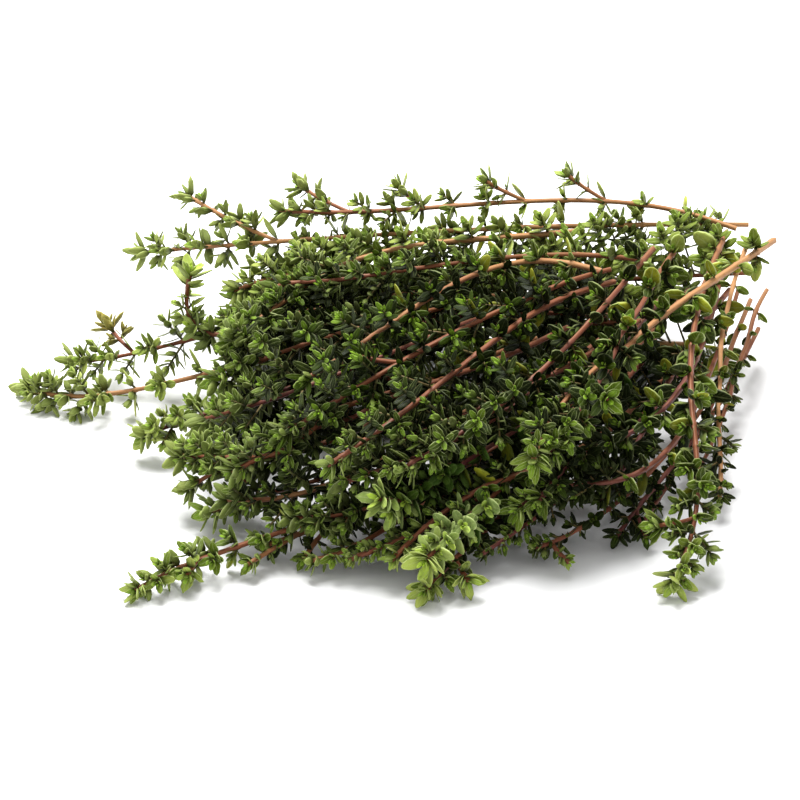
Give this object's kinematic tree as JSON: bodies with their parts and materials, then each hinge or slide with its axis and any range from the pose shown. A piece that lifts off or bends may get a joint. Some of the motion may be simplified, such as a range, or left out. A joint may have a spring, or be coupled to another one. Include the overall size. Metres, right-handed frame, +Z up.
{
  "type": "bunch of fresh thyme",
  "caption": "Loose bunch of fresh thyme lying on its side: thin woody red-brown sprigs with small paired green leaves, fanning out from their cut feet.",
  "frame": {"origin": "under the middle of the bunch's overall box, on the surface that it lies on", "axes": "+Z up from the surface, +X along the bunch's longest side from the furthest tips towards the cut feet, +Y away from the front tips"},
  "size_m": [0.1979, 0.1631, 0.0511],
  "materials": {
    "leaf": "matte dark green leaf, paler on its rim and its underside",
    "young_leaf": "matte yellow-green young leaf",
    "stem": "matte red-brown four-angled stem, tan where it was cut"
  },
  "bodies": {
    "root": {"sprig_01": "leaf", "sprig_02": "leaf", "sprig_03": "leaf", "sprig_04": "leaf", "sprig_05": "leaf", "sprig_06": "leaf", "sprig_07": "leaf", "sprig_08": "leaf", "sprig_09": "leaf", "sprig_10": "leaf", "sprig_11": "leaf", "sprig_12": "leaf", "sprig_13": "leaf", "sprig_14": "leaf", "sprig_15": "leaf", "sprig_16": "young_leaf", "sprig_17": "leaf", "sprig_18": "young_leaf", "sprig_19": "leaf", "sprig_20": "leaf", "sprig_21": "leaf", "sprig_22": "leaf", "sprig_23": "leaf", "sprig_24": "young_leaf", "sprig_25": "leaf", "sprig_26": "leaf", "sprig_27": "leaf", "sprig_28": "leaf", "sprig_29": "leaf", "sprig_30": "leaf", "sprig_31": "leaf", "sprig_32": "leaf", "sprig_33": "leaf", "sprig_34": "leaf", "sprig_35": "leaf", "sprig_36": "leaf", "sprig_37": "leaf", "sprig_38": "leaf", "sprig_39": "leaf", "sprig_40": "leaf", "sprig_41": "leaf", "sprig_42": "leaf", "sprig_43": "leaf", "sprig_44": "leaf", "sprig_45": "leaf", "sprig_46": "leaf", "sprig_47": "leaf", "sprig_48": "leaf", "sprig_49": "leaf", "sprig_50": "leaf", "sprig_51": "leaf"}
  },
  "joints": []
}
